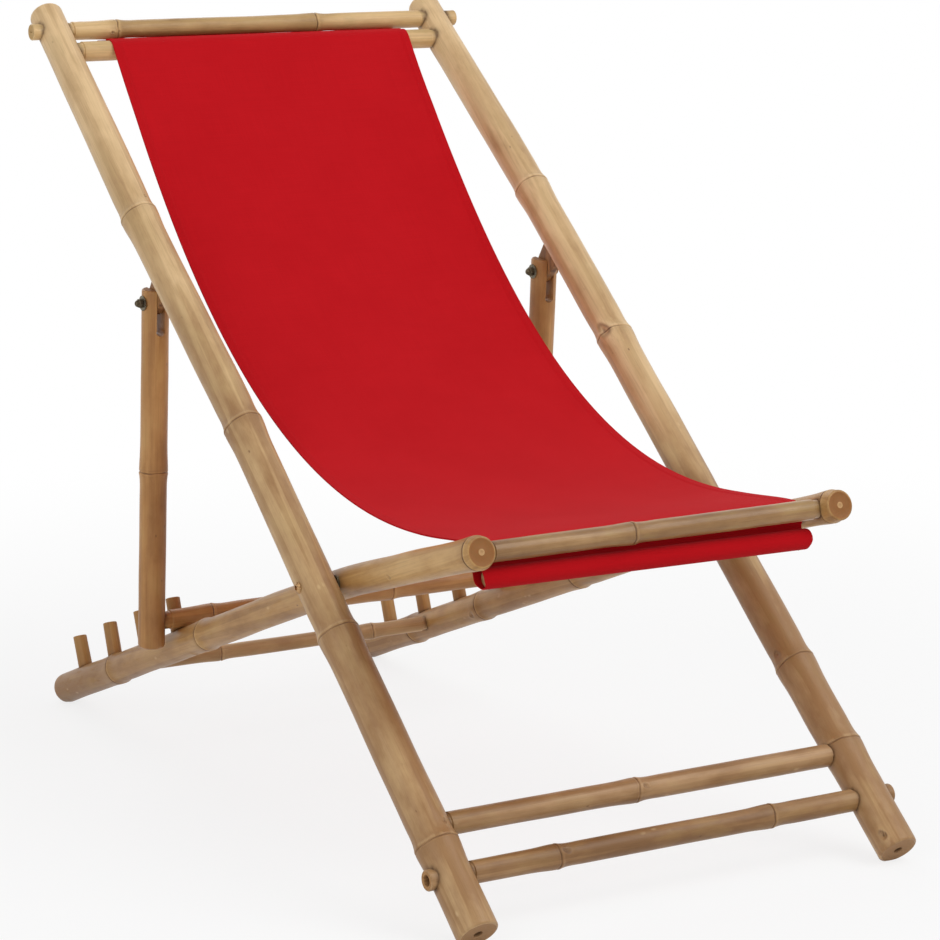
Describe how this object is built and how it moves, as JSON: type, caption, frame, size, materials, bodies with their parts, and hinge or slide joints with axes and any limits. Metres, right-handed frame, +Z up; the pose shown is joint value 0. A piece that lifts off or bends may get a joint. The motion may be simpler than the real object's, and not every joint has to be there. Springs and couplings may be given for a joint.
{
  "type": "folding deck chair",
  "caption": "Folding reclining deck chair: bamboo pole frames that pivot on each other, a peg-stopped prop frame, and a hung canvas sling seat.",
  "frame": {"origin": "on the floor, under the middle of the open chair's bounding box", "axes": "+Z up, the chair faces -Y and its back leans towards +Y, +X is the sitter's left"},
  "size_m": [0.602, 1.1484, 0.918],
  "materials": {
    "pole_bamboo": "dried pale bamboo, clear satin lacquer",
    "rail_bamboo": "dried pale bamboo, clear satin lacquer",
    "strut_bamboo": "darker dried bamboo, faintly waxed",
    "peg_bamboo": "turned pale bamboo, clear satin lacquer",
    "lug_wood": "planed dark hardwood, unvarnished",
    "dowel_wood": "plain turned wood",
    "red_canvas": "plain woven red canvas, stitched hems",
    "brass_bolt": "dulled brass-plated steel",
    "zinc_steel": "zinc-plated steel"
  },
  "bodies": {
    "seat_frame": {"left_seat_pole": "pole_bamboo", "right_seat_pole": "pole_bamboo", "front_rail": "rail_bamboo", "canvas_front_rail": "rail_bamboo", "rear_cross_rail": "strut_bamboo", "left_pegs": "peg_bamboo", "right_pegs": "peg_bamboo", "cross_rail_nails": "zinc_steel", "front_hem_dowel": "dowel_wood"},
    "back_frame": {"left_back_pole": "pole_bamboo", "right_back_pole": "pole_bamboo", "upper_top_rail": "rail_bamboo", "canvas_top_rail": "rail_bamboo", "upper_rung": "rail_bamboo", "lower_rung": "rail_bamboo", "left_strut_lug": "lug_wood", "right_strut_lug": "lug_wood", "pivot_bolts": "brass_bolt", "pivot_spacers": "zinc_steel", "pivot_nut_washers": "zinc_steel", "pivot_nuts": "zinc_steel", "strut_bolts": "brass_bolt", "strut_nut_washers": "zinc_steel", "strut_nuts": "zinc_steel", "top_hem_dowel": "dowel_wood", "canvas_sling": "red_canvas"},
    "prop_frame": {"left_strut": "strut_bamboo", "right_strut": "strut_bamboo", "strut_cross_rail": "strut_bamboo", "strut_rail_nails": "zinc_steel"}
  },
  "joints": [
    {"name": "back_fold", "type": "hinge", "parent": "seat_frame", "child": "back_frame", "pos_m": [0, -0.21787, 0.31307], "axis": [1, 0, 0], "range_deg": [0, 110], "deforming": ["canvas_sling"]},
    {"name": "prop_fold", "type": "hinge", "parent": "back_frame", "child": "prop_frame", "pos_m": [0, 0.17693, 0.57849], "axis": [1, 0, 0], "range_deg": [-55, 0]}
  ],
  "couplings": [
    {"joint": "prop_fold", "follows": "back_fold", "ratio": -0.4945}
  ]
}
